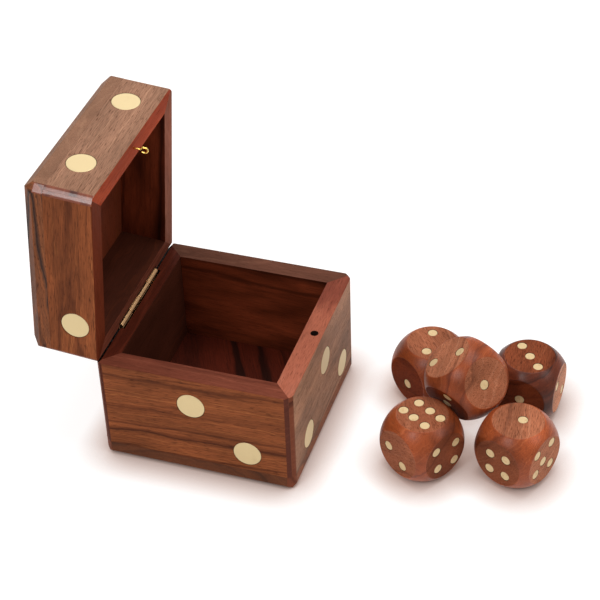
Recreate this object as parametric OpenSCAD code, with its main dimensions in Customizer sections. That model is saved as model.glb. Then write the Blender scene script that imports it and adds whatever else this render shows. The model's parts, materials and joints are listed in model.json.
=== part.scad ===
/* [Box] */
// Width and depth of the square box, outside
box_w = 77; // [60:1:100]
// Height of the lower half, from the table to its rim
body_h = 46; // [38:0.2:60]
// Height of the lid, from its rim to its top
lid_h = 27.2; // [24:0.2:36]
// Thickness of the mitred side boards
wall_t = 7.9; // [6:0.1:10]
// Thickness of the bottom board, glued on under the side boards
base_t = 6.6; // [4:0.1:8]
// Thickness of the lid's top board, glued on over the side boards
top_t = 8.5; // [6:0.1:10]
// Flat sanded on the four upright corners
corner_cut = 2.6; // [1:0.1:4]
// Flat sanded round the bottom edge
foot_cut = 2; // [1:0.1:4]
// Flat sanded round the lid's top edge, at the sides and back
lid_cut = 4; // [1:0.1:5]
// Flat sanded along the lid's top edge, at the front
lid_front_cut = 3.7; // [1:0.1:5]
// How far in the lid's upper front left corner is rubbed flat
lid_corner_cut = 2.4; // [2.3:0.1:4]
// Gap between the closed lid and the lower half
rim_gap = 0.1; // [0.05:0.05:0.5]

/* [Hinge] */
// How far the lid stands open in the photograph's pose
open_angle = 85.5; // [60:0.5:86]
// Distance of the hinge axis from the back face
axis_inset = 1.6; // [1.2:0.1:2]
// Middle of the barrel, to the right of the box's middle
barrel_x = 1.5; // [-4:0.5:4]
// Outer diameter of the barrel
barrel_d = 3; // [2:0.1:3.1]
// Length of one knuckle and its gap
knuckle_pitch = 9; // [6:0.2:10]
// Number of knuckles, shared between the two leaves
knuckles = 4; // [2:1:6]
// Gap between neighbouring knuckles
knuckle_gap = 0.25; // [0.1:0.05:0.3]
// Diameter of the hinge pin
pin_d = 1.8; // [0.8:0.1:1.9]
// Thickness of the leaves
leaf_t = 0.6; // [0.4:0.1:0.8]
// How deep each leaf reaches into its board
leaf_deep = 7; // [4:0.5:10]
// Length of the groove that takes the barrel
groove_len = 37.4; // [37:0.2:60]
// How far inside the hinge axis the back bevels of both rims begin
bevel_in = 0.5; // [0:0.1:1]

/* [Catch] */
// Diameter of the catch wire
wire_d = 0.8; // [0.7:0.1:1.2]
// Outside width of the wire loop
loop_w = 2.6; // [2.2:0.1:4]
// Straight part of the loop
loop_straight = 0.9; // [0:0.1:2]
// Shank that shows between the lid's rim and the loop
shank_out = 2.7; // [0.4:0.1:3.2]
// Shank inside the lid's front board
shank_in = 8; // [5:0.5:12]
// Turn of the loop about its shank
loop_turn = 20; // [0:5:90]
// Distance of the catch from the front face
catch_inset = 3.4; // [3:0.1:4]

/* [Inlays] */
// Diameter of the brass discs on the box
disc_d = 11; // [8:0.5:14]
// Thickness of the brass discs on the box
disc_t = 2; // [1:0.5:3]
// Distance of the outer discs from the middle of a face
disc_off = 20.5; // [16:0.5:24]

/* [Dice] */
// Width of a die across its flat faces
die_w = 25; // [16:1:25]
// Diameter of the ball that rounds a die's corners
die_ball = 32; // [20:1:36]
// Diameter of the brass pips on the dice
pip_d = 3.8; // [2:0.2:4]
// Depth of the brass pips on the dice
pip_t = 1.8; // [1:0.2:3]

/* [Hidden] */
$fn = 64;
half = box_w / 2;
inner = box_w - 2 * wall_t;
full_h = body_h + lid_h;
lid_z = body_h + rim_gap;
axis_y = half - axis_inset;
axis_z = body_h;
barrel_r = barrel_d / 2;
barrel_len = knuckles * knuckle_pitch;
barrel_start = barrel_x - barrel_len / 2;
groove_r = barrel_r + 0.5;
knuckle_room = barrel_r + 0.2;
leaf_y = axis_y - barrel_r + leaf_t / 2;
slot_w = leaf_t + 0.2;
bevel_angle = open_angle / 2 + 0.7;
loop_r = (loop_w - wire_d) / 2;
catch_y = -half + catch_inset;
catch_hole_d = loop_w + 0.5;
catch_hole_deep = 7.5;
inlay_gap = 0.1;
pip_gap = 0.05;
low_row = 13;
high_row = 58;
wood_red = [0.42, 0.20, 0.11];
wood_light = [0.55, 0.30, 0.17];
wood_dark = [0.30, 0.14, 0.09];
wood_die = [0.58, 0.25, 0.12];
brass = [0.85, 0.72, 0.42];

// Centres of the discs on each face, as across and up from the middle of the foot
front_low = [[2.2, 31.5], [23.2, low_row], [-19.6, low_row]];
front_high = [[22, high_row], [-19.5, high_row]];
left_low = [[-1, 33.4], [20.3, 14.9]];
left_high = [[-21.1, 54.4]];
right_low = [[disc_off, low_row], [-disc_off, low_row]];
right_high = [[disc_off, high_row], [-disc_off, high_row]];
back_low = [[-disc_off, low_row]];
back_high = [[disc_off, high_row]];

// Pip layouts, in the two directions across a face
function one(a = 0, b = 0) = [[a, b]];
function two(a = 4.3, b = 4.3) = [[a, b], [-a, -b]];
function three(a = 4.6, b = 4.6) = concat(two(a, b), one());
function four(a = 4.4, b = 4.4) = concat(two(a, b), two(a, -b));
function five(a = 4.7, b = 4.7) = concat(four(a, b), one());
function six(a = 3.7, b = 6) = concat(four(a, b), two(a, 0));

// Each die: where its middle stands, its turns, and the pips of +X, -X, +Y, -Y, +Z and -Z
// The faces that a hand inlay set a little off the rule have their spots one by one
back_left = [
    [31, -73, 0], [0, 0, 145],
    [one(0, -2), six(), four(), three(), [[-4, -4.5], [5, 2.5]], five()]
];
back_right = [
    [33.6, -111.2, 0], [0, 0, 176],
    [one(0, 0.5), six(), two(), five(), three(4.9, 4.6), four()]
];
front_left = [
    [-10, -80, 0], [0, 0, 148.5],
    [
        [[-5, 1], [2.5, -4.5]],
        five(),
        [[4.5, 4.5], [-5.5, 3.5], [3.5, -4.5], [-5, -5]],
        three(),
        [[3.5, -6.5], [3.5, -1], [3.5, 5], [-3.5, -5.5], [-3.5, 0.5], [-3.5, 6]],
        one()
    ]
];
front_right = [
    [-3.5, -115, 0], [0, 0, 157.5],
    [
        [[-3.5, 3], [3.5, 3.5], [-3.5, -4.5], [3.5, -4.5]],
        three(),
        [[5, 5.5], [-4, 6], [1, 0], [5.5, -3.5], [-4, -4.5]],
        two(),
        one(-1.5, 1),
        six()
    ]
];
on_top = [
    [12.2, -91.2, 14.4], [28.5, 23.5, 156],
    [three(), four(), one(1, 0), six(), [[3.5, -5.5], [-3.5, 4.5]], five()]
];

// Plan of the whole box with its corners cut off
module box_plan() {
    w = half;
    c = half - corner_cut;
    polygon([[-c, -w], [c, -w], [w, -c], [w, c], [c, w], [-c, w], [-w, c], [-w, -c]]);
}

// Plan of the ring of side boards
module ring_plan() {
    difference() {
        box_plan();
        square(inner, center = true);
    }
}

// Quarter of the plan that belongs to one side, cut along the mitres
module side_plan(side) {
    rotate(side * 90)
        polygon([[0, 0], [-box_w, -box_w], [box_w, -box_w]]);
}

// Three-sided bar that planes a flat of width cut off the edge along one side
module edge_bar(side, cut, z, up) {
    rotate([0, 0, side * 90])
        translate([0, -half, z])
            mirror([0, 0, up ? 0 : 1])
                rotate([90, 0, 90])
                    linear_extrude(box_w + 4, center = true)
                        polygon([[-1, -1], [cut + 1, -1], [-1, cut + 1]]);
}

// Wedge behind the hinge axis that lets the lid swing back, and stops it
module back_bevel(up) {
    run = axis_inset + bevel_in + 3;
    rise = run * tan(bevel_angle);
    translate([0, axis_y - bevel_in, axis_z])
        mirror([0, 0, up ? 0 : 1])
            rotate([90, 0, 90])
                linear_extrude(box_w + 4, center = true)
                    polygon([[0, 0], [0, -4], [run, -4], [run, rise]]);
}

// Groove for the barrel and the slot for one leaf
module hinge_housing(up) {
    translate([barrel_x - groove_len / 2, axis_y, axis_z])
        rotate([0, 90, 0])
            cylinder(r = groove_r, h = groove_len);
    translate([barrel_x - groove_len / 2, leaf_y - slot_w / 2, up ? axis_z - 1 : axis_z - leaf_deep - 0.3])
        cube([groove_len, slot_w, leaf_deep + 1.3]);
}

// Side names: 0 front, 1 right, 2 back, 3 left
module face_frame(side) {
    rotate([0, 0, side * 90])
        translate([0, -half, 0])
            rotate([90, 0, 0])
                children();
}

module disc_pockets(side, spots) {
    face_frame(side)
        for (p = spots)
            translate([p[0], p[1], -disc_t])
                cylinder(d = disc_d + 2 * inlay_gap, h = disc_t + 1);
}

module disc_solid() {
    rim = 0.25;
    cylinder(d = disc_d, h = disc_t - rim);
    translate([0, 0, disc_t - rim])
        cylinder(d1 = disc_d, d2 = disc_d - 2 * rim, h = rim);
}

module discs(side, spots) {
    color(brass)
        face_frame(side)
            for (p = spots)
                translate([p[0], p[1], -disc_t])
                    disc_solid();
}

// One mitred board of the lower half
module box_board(side, spots) {
    difference() {
        translate([0, 0, base_t])
            linear_extrude(body_h - base_t)
                intersection() {
                    ring_plan();
                    side_plan(side);
                }
        back_bevel(false);
        disc_pockets(side, spots);
        if (side == 2)
            hinge_housing(false);
        if (side == 0)
            catch_hole();
    }
}

// One mitred board of the lid, drawn in the closed position
module lid_board(side, spots) {
    difference() {
        translate([0, 0, lid_z])
            linear_extrude(full_h - top_t - lid_z)
                intersection() {
                    ring_plan();
                    side_plan(side);
                }
        back_bevel(true);
        disc_pockets(side, spots);
        if (side == 2)
            hinge_housing(true);
        if (side == 0)
            shank_hole();
    }
}

// Hole in the lower rim that the wire loop springs into
module catch_hole() {
    translate([0, catch_y - 0.05, body_h - catch_hole_deep])
        cylinder(d = catch_hole_d, h = catch_hole_deep + 1);
}

module shank_hole() {
    translate([0, catch_y, lid_z - 1])
        cylinder(d = wire_d + 0.04, h = shank_in + 1);
}

// Turns what is drawn closed into the open position
module opened() {
    translate([0, axis_y, axis_z])
        rotate([-open_angle, 0, 0])
            translate([0, -axis_y, -axis_z])
                children();
}

module knuckle(i, bore_d) {
    translate([barrel_start + i * knuckle_pitch + knuckle_gap / 2, axis_y, axis_z])
        rotate([0, 90, 0])
            difference() {
                cylinder(r = barrel_r, h = knuckle_pitch - knuckle_gap);
                translate([0, 0, -1])
                    cylinder(d = bore_d, h = knuckle_pitch + 2);
            }
}

// Leaf below the axis with every second knuckle, starting at the given one
module leaf(first, bore_d) {
    difference() {
        translate([barrel_start + knuckle_gap / 2, leaf_y - leaf_t / 2, axis_z - leaf_deep])
            cube([barrel_len - knuckle_gap, leaf_t, leaf_deep]);
        for (i = [1 - first:2:knuckles - 1])
            translate([barrel_start + i * knuckle_pitch - knuckle_gap / 2, axis_y, axis_z])
                rotate([0, 90, 0])
                    cylinder(r = knuckle_room, h = knuckle_pitch + knuckle_gap);
        translate([barrel_start - 1, axis_y, axis_z])
            rotate([0, 90, 0])
                cylinder(d = barrel_d - 0.4, h = barrel_len + 2);
    }
    for (i = [first:2:knuckles - 1])
        knuckle(i, bore_d);
}

module hinge_lower_leaf() {
    color(brass)
        leaf(0, pin_d + 0.02);
}

module hinge_upper_leaf() {
    color(brass)
        opened()
            translate([0, 0, 2 * axis_z])
                mirror([0, 0, 1])
                    leaf(1, pin_d + 0.1);
}

module hinge_pin() {
    color(brass)
        translate([barrel_start + knuckle_gap / 2, axis_y, axis_z])
            rotate([0, 90, 0])
                cylinder(d = pin_d, h = barrel_len - knuckle_gap);
}

// Arc of wire in the plane of the loop, from one angle through a sweep
module wire_arc(from, sweep) {
    rotate([0, 0, from])
        rotate_extrude(angle = sweep)
            translate([loop_r, 0])
                circle(d = wire_d);
}

module wire_rod(len) {
    rotate([-90, 0, 0])
        cylinder(d = wire_d, h = len);
}

// Wire eye whose free end stops just short of the shank
module catch_eye() {
    color(brass)
        opened()
            translate([0, catch_y, lid_z])
                rotate([0, 0, 90 + loop_turn])
                    rotate([90, 0, 0])
                        catch_wire();
}

module catch_wire() {
    top = -shank_out - loop_r;
    bottom = top - loop_straight;
    translate([0, top + loop_r, 0])
        wire_rod(shank_out + shank_in);
    translate([0, top, 0])
        wire_arc(90, 90);
    translate([-loop_r, bottom, 0])
        wire_rod(loop_straight);
    translate([0, bottom, 0])
        wire_arc(180, 180);
    translate([loop_r, bottom, 0])
        wire_rod(loop_straight);
    translate([0, top, 0])
        wire_arc(0, 28);
}

module base_board() {
    color(wood_dark)
        difference() {
            linear_extrude(base_t)
                box_plan();
            for (s = [0:3])
                edge_bar(s, foot_cut, 0, true);
        }
}

// Block that takes the flat off the lid's upper front left corner
module corner_block() {
    translate([lid_corner_cut - half, lid_corner_cut - half, full_h - lid_corner_cut])
        rotate([0, -atan(1 / sqrt(2)), 225])
            translate([0, -10, -10])
                cube(20);
}

module lid_top_board() {
    color(wood_red)
        opened()
            difference() {
                translate([0, 0, full_h - top_t])
                    linear_extrude(top_t)
                        box_plan();
                for (s = [1:3])
                    edge_bar(s, lid_cut, full_h, false);
                edge_bar(0, lid_front_cut, full_h, false);
                corner_block();
                translate([0, 0, full_h - disc_t])
                    cylinder(d = disc_d + 2 * inlay_gap, h = disc_t + 1);
            }
}

module lid_top_disc() {
    color(brass)
        opened()
            translate([0, 0, full_h - disc_t])
                disc_solid();
}

// Carries its children from the front of a face's frame to each pip of a die
module at_pips(faces) {
    w = die_w / 2;
    for (p = faces[0])
        translate([w, p[0], p[1]])
            rotate([0, 90, 0])
                children();
    for (p = faces[1])
        translate([-w, p[0], p[1]])
            rotate([0, -90, 0])
                children();
    for (p = faces[2])
        translate([p[0], w, p[1]])
            rotate([-90, 0, 0])
                children();
    for (p = faces[3])
        translate([p[0], -w, p[1]])
            rotate([90, 0, 0])
                children();
    for (p = faces[4])
        translate([p[0], p[1], w])
            children();
    for (p = faces[5])
        translate([p[0], p[1], -w])
            rotate([180, 0, 0])
                children();
}

module at_die(die) {
    translate(die[0] + [0, 0, die_w / 2])
        rotate(die[1])
            children();
}

module die_block(die) {
    color(wood_die)
        at_die(die)
            difference() {
                intersection() {
                    cube(die_w, center = true);
                    sphere(d = die_ball);
                }
                at_pips(die[2])
                    translate([0, 0, -pip_t])
                        cylinder(d = pip_d + 2 * pip_gap, h = pip_t + 1);
            }
}

module die_pips(die) {
    rim = 0.15;
    color(brass)
        at_die(die)
            at_pips(die[2])
                translate([0, 0, -pip_t]) {
                    cylinder(d = pip_d, h = pip_t - rim);
                    translate([0, 0, pip_t - rim])
                        cylinder(d1 = pip_d, d2 = pip_d - 2 * rim, h = rim);
                }
}

module box_front_board() {
    color(wood_light)
        box_board(0, front_low);
}

module box_right_board() {
    color(wood_red)
        box_board(1, right_low);
}

module box_back_board() {
    color(wood_red)
        box_board(2, back_low);
}

module box_left_board() {
    color(wood_red)
        box_board(3, left_low);
}

module lid_front_board() {
    color(wood_light)
        opened()
            lid_board(0, front_high);
}

module lid_right_board() {
    color(wood_red)
        opened()
            lid_board(1, right_high);
}

module lid_back_board() {
    color(wood_red)
        opened()
            lid_board(2, back_high);
}

module lid_left_board() {
    color(wood_red)
        opened()
            lid_board(3, left_high);
}

base_board();
box_front_board();
box_back_board();
box_left_board();
box_right_board();
discs(0, front_low);  // box_front_discs
discs(1, right_low);  // box_right_discs
discs(2, back_low);  // box_back_disc
discs(3, left_low);  // box_left_discs
hinge_lower_leaf();
hinge_pin();
lid_top_board();
lid_front_board();
lid_back_board();
lid_left_board();
lid_right_board();
opened() discs(0, front_high);  // lid_front_discs
opened() discs(1, right_high);  // lid_right_discs
opened() discs(2, back_high);  // lid_back_disc
opened() discs(3, left_high);  // lid_left_disc
lid_top_disc();
hinge_upper_leaf();
catch_eye();
die_block(back_left);  // die_back_left
die_pips(back_left);  // die_back_left_pips
die_block(back_right);  // die_back_right
die_pips(back_right);  // die_back_right_pips
die_block(front_left);  // die_front_left
die_pips(front_left);  // die_front_left_pips
die_block(front_right);  // die_front_right
die_pips(front_right);  // die_front_right_pips
die_block(on_top);  // die_top
die_pips(on_top);  // die_top_pips
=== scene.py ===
import json
import math

import bmesh
import bpy
from mathutils import Euler, Matrix, Vector


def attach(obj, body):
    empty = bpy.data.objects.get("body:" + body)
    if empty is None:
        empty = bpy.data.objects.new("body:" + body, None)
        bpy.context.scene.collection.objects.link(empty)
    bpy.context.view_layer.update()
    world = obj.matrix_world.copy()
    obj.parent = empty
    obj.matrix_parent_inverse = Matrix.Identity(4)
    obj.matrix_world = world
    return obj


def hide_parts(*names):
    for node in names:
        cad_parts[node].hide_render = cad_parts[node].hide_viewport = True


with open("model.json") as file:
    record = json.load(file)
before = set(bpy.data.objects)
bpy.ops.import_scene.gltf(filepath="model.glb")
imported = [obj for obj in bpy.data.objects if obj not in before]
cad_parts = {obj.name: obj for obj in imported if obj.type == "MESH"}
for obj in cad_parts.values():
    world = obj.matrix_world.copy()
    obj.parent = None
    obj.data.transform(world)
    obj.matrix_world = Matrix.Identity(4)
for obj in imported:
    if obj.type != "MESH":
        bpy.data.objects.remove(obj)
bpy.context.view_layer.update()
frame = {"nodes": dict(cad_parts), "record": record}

mm = 0.001

# Sizes of the box, as in the solid model, in millimetres
box = {
    "half": 38.5,          # half the outside width
    "inner": 30.6,         # half the inside width
    "bodyHeight": 46.0,
    "fullHeight": 73.2,
    "bottomBoard": 6.6,
    "topBoard": 8.5,
    "axisY": 36.9,         # hinge axis
    "slotY": 35.7,         # middle of the saw slots that take the hinge's leaves
    "catchY": -35.1,
    "rimGap": 0.1,         # between the rims of the closed box
    "openAngle": 85.5,
}

# Camera

camera = {
    "position": (-490.4, -203.4, 479.6),
    "azimuth": -70.52,
    "elevation": 38.83,
    "roll": -2.26,
    "lens": 107.9,
    "sensor": 36,
    "farthest": 20,        # metres
}


def makeCamera():
    azimuth, elevation, roll = (math.radians(camera[key]) for key in ("azimuth", "elevation", "roll"))
    level = math.cos(elevation)
    ahead = Vector((-math.sin(azimuth) * level, math.cos(azimuth) * level, -math.sin(elevation)))
    right = ahead.cross(Vector((0, 0, 1))).normalized()
    up = right.cross(ahead)
    right, up = (
        right * math.cos(roll) + up * math.sin(roll),
        up * math.cos(roll) - right * math.sin(roll),
    )
    eye = bpy.data.objects.new("camera", bpy.data.cameras.new("camera"))
    eye.data.lens = camera["lens"]
    eye.data.sensor_width = camera["sensor"]
    eye.data.clip_end = camera["farthest"]
    eye.matrix_world = Matrix((right, up, -ahead)).transposed().to_4x4()
    eye.location = Vector(camera["position"]) * mm
    bpy.context.scene.collection.objects.link(eye)
    bpy.context.scene.camera = eye


makeCamera()
print("camera placed")

# Small helpers for node trees


def tone(red, green, blue):
    # 0 to 255 as seen on screen, to the linear colour that a shader takes
    linear = []
    for value in (red, green, blue):
        value /= 255
        linear.append(value / 12.92 if value <= 0.04045 else ((value + 0.055) / 1.055) ** 2.4)
    return (*linear, 1)


def feed(tree, value, socket):
    if isinstance(value, bpy.types.NodeSocket):
        tree.links.new(value, socket)
    else:
        socket.default_value = value


def calc(tree, operation, *values):
    node = tree.nodes.new("ShaderNodeMath")
    node.operation = operation
    for value, socket in zip(values, node.inputs):
        feed(tree, value, socket)
    return node.outputs[0]


def ramp(tree, value, low, high, newLow=0.0, newHigh=1.0):
    node = tree.nodes.new("ShaderNodeMapRange")
    node.interpolation_type = "SMOOTHSTEP"
    for each, socket in zip((value, low, high, newLow, newHigh), node.inputs):
        feed(tree, each, socket)
    return node.outputs[0]


def mixColors(tree, share, first, second, mode="MIX"):
    node = tree.nodes.new("ShaderNodeMix")
    node.data_type = "RGBA"
    node.blend_type = mode
    for value, index in ((share, 0), (first, 6), (second, 7)):
        feed(tree, value, node.inputs[index])
    return node.outputs[2]


def stretched(tree, vector, scales):
    node = tree.nodes.new("ShaderNodeVectorMath")
    node.operation = "MULTIPLY"
    feed(tree, vector, node.inputs[0])
    feed(tree, scales, node.inputs[1])
    return node.outputs[0]


def noiseOf(tree, vector=None, w=None, detail=2.0, roughness=0.5):
    # Varies along the number w where it gets no vector
    node = tree.nodes.new("ShaderNodeTexNoise")
    node.noise_dimensions = "1D" if vector is None else "3D"
    node.inputs["Scale"].default_value = 1.0
    node.inputs["Detail"].default_value = detail
    node.inputs["Roughness"].default_value = roughness
    if vector is None:
        feed(tree, w, node.inputs["W"])
    else:
        feed(tree, vector, node.inputs["Vector"])
    return node.outputs["Fac"]


def newGroup(name, inputs, outputs):
    group = bpy.data.node_groups.new(name, "ShaderNodeTree")
    for label, kind, value in inputs:
        socket = group.interface.new_socket(label, in_out="INPUT", socket_type="NodeSocket" + kind)
        if value is not None:
            socket.default_value = value
    for label, kind in outputs:
        group.interface.new_socket(label, in_out="OUTPUT", socket_type="NodeSocket" + kind)
    start = group.nodes.new("NodeGroupInput")
    end = group.nodes.new("NodeGroupOutput")
    return group, start.outputs, end.inputs


# Wood grain in the round: fibres run along the first axis of the grain position

grainInputs = [
    ("Grain Position", "Vector", None),
    ("End Grain", "Float", 0.0),
    ("Dark", "Color", tone(70, 34, 20)),
    ("Middle", "Color", tone(128, 70, 40)),
    ("Light", "Color", tone(168, 98, 55)),
    ("Pore", "Color", tone(38, 16, 10)),
    ("Band Width", "Float", 5.0),
    ("Wander", "Float", 4.0),
    ("Dark Share", "Float", 0.45),
    ("Light Share", "Float", 0.45),
    ("Streak Strength", "Float", 0.5),
    ("Pore Strength", "Float", 0.5),
    ("End Darkness", "Float", 0.35),
    ("Cloud Strength", "Float", 0.35),
    ("Fibre Contrast", "Float", 0.15),
]


pith = (-34.0, 58.0)                  # middle of the growth rings, across and into the board
inMillimetres = (1000, 1000, 1000)    # brings a place in metres to millimetres


def makeGrainGroup():
    group, given, out = newGroup(
        "woodGrain", grainInputs, [("Color", "Color"), ("Pores", "Float"), ("Height", "Float")]
    )
    place = stretched(group, given["Grain Position"], inMillimetres)
    split = group.nodes.new("ShaderNodeSeparateXYZ")
    group.links.new(place, split.inputs[0])
    along, across, deep = split.outputs
    # Growth rings round a pith beside the board, pushed about by a slow wander and a quick one
    slow = noiseOf(group, stretched(group, place, (0.012, 0.045, 0.045)), detail=2)
    quick = noiseOf(group, stretched(group, place, (0.045, 0.22, 0.22)), detail=2)
    push = calc(group, "MULTIPLY", calc(group, "SUBTRACT", slow, 0.5), given["Wander"])
    push = calc(group, "ADD", push, calc(group, "MULTIPLY", calc(group, "SUBTRACT", quick, 0.5), 1.6))
    ringY = calc(group, "SUBTRACT", across, pith[0])
    ringZ = calc(group, "SUBTRACT", deep, pith[1])
    square = calc(group, "ADD", calc(group, "POWER", ringY, 2.0), calc(group, "POWER", ringZ, 2.0))
    ring = calc(group, "ADD", calc(group, "SQRT", square), calc(group, "MULTIPLY", push, 2.0))
    ring = calc(group, "DIVIDE", ring, given["Band Width"])
    broad = noiseOf(group, w=ring, detail=2, roughness=0.55)
    narrow = noiseOf(group, w=calc(group, "MULTIPLY", ring, 4.3), detail=3, roughness=0.6)
    streak = noiseOf(group, stretched(group, place, (0.035, 0.95, 0.95)), detail=3, roughness=0.6)
    fibre = noiseOf(group, stretched(group, place, (0.16, 5.5, 5.5)), detail=2, roughness=0.6)
    dash = noiseOf(group, stretched(group, place, (0.3, 3.6, 3.6)), detail=1, roughness=0.4)
    # Colour from dark heartwood through the middle to light streaks
    darkEdge = calc(group, "SUBTRACT", 0.7, calc(group, "MULTIPLY", given["Dark Share"], 0.5))
    darkFrom = calc(group, "SUBTRACT", darkEdge, 0.08)
    isDark = ramp(group, broad, darkFrom, calc(group, "ADD", darkEdge, 0.2))
    lightEdge = calc(group, "MULTIPLY", given["Light Share"], 0.9)
    lightFrom = calc(group, "ADD", lightEdge, 0.12)
    isLight = ramp(group, narrow, lightFrom, calc(group, "SUBTRACT", lightEdge, 0.1))
    color = mixColors(group, isLight, given["Middle"], given["Light"])
    color = mixColors(group, isDark, color, given["Dark"])
    lines = calc(group, "MULTIPLY", ramp(group, streak, 0.54, 0.7), given["Streak Strength"])
    color = mixColors(group, lines, color, given["Dark"])
    # Fibres and clouds shade the colour either way, then the open pores and the end grain darken it
    soft = calc(group, "MULTIPLY", calc(group, "SUBTRACT", 0.5, ramp(group, fibre, 0.3, 0.7)), 2.0)
    soft = calc(group, "ADD", calc(group, "MULTIPLY", soft, given["Fibre Contrast"]), 1.0)
    clouds = noiseOf(group, stretched(group, place, (0.03, 0.09, 0.09)), detail=2, roughness=0.5)
    clouds = calc(group, "MULTIPLY", calc(group, "SUBTRACT", clouds, 0.5), given["Cloud Strength"])
    soft = calc(group, "MULTIPLY", soft, calc(group, "ADD", calc(group, "MULTIPLY", clouds, 3.0), 1.0))
    shade = group.nodes.new("ShaderNodeCombineColor")
    for socket in shade.inputs[:3]:
        group.links.new(soft, socket)
    color = mixColors(group, 1.0, color, shade.outputs[0], "MULTIPLY")
    pores = ramp(group, dash, 0.6, 0.7)
    poreShare = calc(group, "MULTIPLY", pores, given["Pore Strength"])
    color = mixColors(group, poreShare, color, given["Pore"])
    ends = calc(group, "MULTIPLY", given["End Grain"], given["End Darkness"])
    color = mixColors(group, ends, color, given["Dark"])
    height = calc(group, "SUBTRACT", calc(group, "MULTIPLY", fibre, 0.25), pores)
    feed(group, color, out["Color"])
    feed(group, pores, out["Pores"])
    feed(group, height, out["Height"])
    return group


# Brass with rubbing marks, slight clouding and a tarnish that gathers in patches


def makeBrassGroup():
    group, given, out = newGroup(
        "rubbedBrass",
        [
            ("Position", "Vector", None),
            ("Bright", "Color", tone(245, 220, 175)),
            ("Tarnish", "Color", tone(190, 150, 95)),
            ("Tarnish Share", "Float", 0.3),
            ("Patch Size", "Float", 4.0),
        ],
        [("Color", "Color"), ("Wear", "Float"), ("Height", "Float")],
    )
    place = stretched(group, given["Position"], inMillimetres)
    size = calc(group, "DIVIDE", 1.0, given["Patch Size"])
    sizes = group.nodes.new("ShaderNodeCombineXYZ")
    for socket in sizes.inputs:
        group.links.new(size, socket)
    cloud = noiseOf(group, stretched(group, place, sizes.outputs[0]), detail=3, roughness=0.6)
    rub = noiseOf(group, stretched(group, place, (0.9, 7.0, 7.0)), detail=2, roughness=0.6)
    edge = calc(group, "SUBTRACT", 0.8, calc(group, "MULTIPLY", given["Tarnish Share"], 0.6))
    dull = ramp(group, cloud, calc(group, "SUBTRACT", edge, 0.12), calc(group, "ADD", edge, 0.12))
    color = mixColors(group, dull, given["Bright"], given["Tarnish"])
    rubbed = calc(group, "MULTIPLY", ramp(group, rub, 0.45, 0.75), 0.18)
    color = mixColors(group, rubbed, color, given["Tarnish"])
    feed(group, color, out["Color"])
    feed(group, dull, out["Wear"])
    feed(group, rub, out["Height"])
    return group


grainGroup = makeGrainGroup()
brassGroup = makeBrassGroup()


def newMaterial(name):
    material = bpy.data.materials.new(name)
    material.use_nodes = True
    tree = material.node_tree
    shader = tree.nodes["Principled BSDF"]
    return material, tree, shader


def attributeOf(tree, name):
    node = tree.nodes.new("ShaderNodeAttribute")
    node.attribute_name = name
    return node


def addBump(tree, shader, height, strength, distance):
    bump = tree.nodes.new("ShaderNodeBump")
    bump.inputs["Strength"].default_value = strength
    bump.inputs["Distance"].default_value = distance * mm
    tree.links.new(height, bump.inputs["Height"])
    tree.links.new(bump.outputs[0], shader.inputs["Normal"])


def makeWood(name, dark, middle, light, finish=0.5, coat=0.0, bump=0.25, gloss=0.08, paintedShadeTone=None, **look):
    # Painted shade tone multiplies the colour where the mesh's painted light is nought, as painted shade;
    # one leaves it as it is, and more lightens it as painted sheen
    material, tree, shader = newMaterial(name)
    grain = tree.nodes.new("ShaderNodeGroup")
    grain.node_tree = grainGroup
    tree.links.new(attributeOf(tree, "grain").outputs["Vector"], grain.inputs["Grain Position"])
    tree.links.new(attributeOf(tree, "endGrain").outputs["Fac"], grain.inputs["End Grain"])
    look.update(dark=tone(*dark), middle=tone(*middle), light=tone(*light))
    for label, kind, value in grainInputs:
        key = label[0].lower() + label[1:].replace(" ", "")
        if key in look:
            grain.inputs[label].default_value = look[key]
    color = grain.outputs["Color"]
    if paintedShadeTone:
        pale = mixColors(tree, attributeOf(tree, "paintedLight").outputs["Fac"], paintedShadeTone, (1, 1, 1, 1))
        pale.node.clamp_factor = False
        color = mixColors(tree, 1.0, color, pale, "MULTIPLY")
    tree.links.new(color, shader.inputs["Base Color"])
    rough = calc(tree, "ADD", calc(tree, "MULTIPLY", grain.outputs["Pores"], 0.2), finish)
    tree.links.new(rough, shader.inputs["Roughness"])
    shader.inputs["Coat Weight"].default_value = coat
    shader.inputs["Coat Roughness"].default_value = 0.22
    shader.inputs["Specular IOR Level"].default_value = gloss
    addBump(tree, shader, grain.outputs["Height"], bump, 0.08)
    return material


def makeBrass(name, rough, bright, tarnish, wearRough=0.05, bump=0.0, metal=1.0, share=0.3, patch=4.0):
    material, tree, shader = newMaterial(name)
    brass = tree.nodes.new("ShaderNodeGroup")
    brass.node_tree = brassGroup
    where = tree.nodes.new("ShaderNodeTexCoord")
    tree.links.new(where.outputs["Object"], brass.inputs["Position"])
    brass.inputs["Bright"].default_value = tone(*bright)
    brass.inputs["Tarnish"].default_value = tone(*tarnish)
    brass.inputs["Tarnish Share"].default_value = share
    brass.inputs["Patch Size"].default_value = patch
    tree.links.new(brass.outputs["Color"], shader.inputs["Base Color"])
    worn = calc(tree, "ADD", calc(tree, "MULTIPLY", brass.outputs["Wear"], wearRough), rough)
    tree.links.new(worn, shader.inputs["Roughness"])
    shader.inputs["Metallic"].default_value = metal
    addBump(tree, shader, brass.outputs["Height"], bump, 0.03)
    return material


def makeGlueAndShade(name, color, rough):
    # Dull dark glue in seams, and painted shade in holes
    material, tree, shader = newMaterial(name)
    where = tree.nodes.new("ShaderNodeTexCoord")
    spots = noiseOf(tree, stretched(tree, where.outputs["Object"], (900, 900, 900)), detail=2)
    mottled = tuple(channel * 0.6 for channel in tone(*color)[:3]) + (1,)
    tree.links.new(mixColors(tree, spots, tone(*color), mottled), shader.inputs["Base Color"])
    shader.inputs["Roughness"].default_value = rough
    shader.inputs["Specular IOR Level"].default_value = 0.04
    return material


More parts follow.
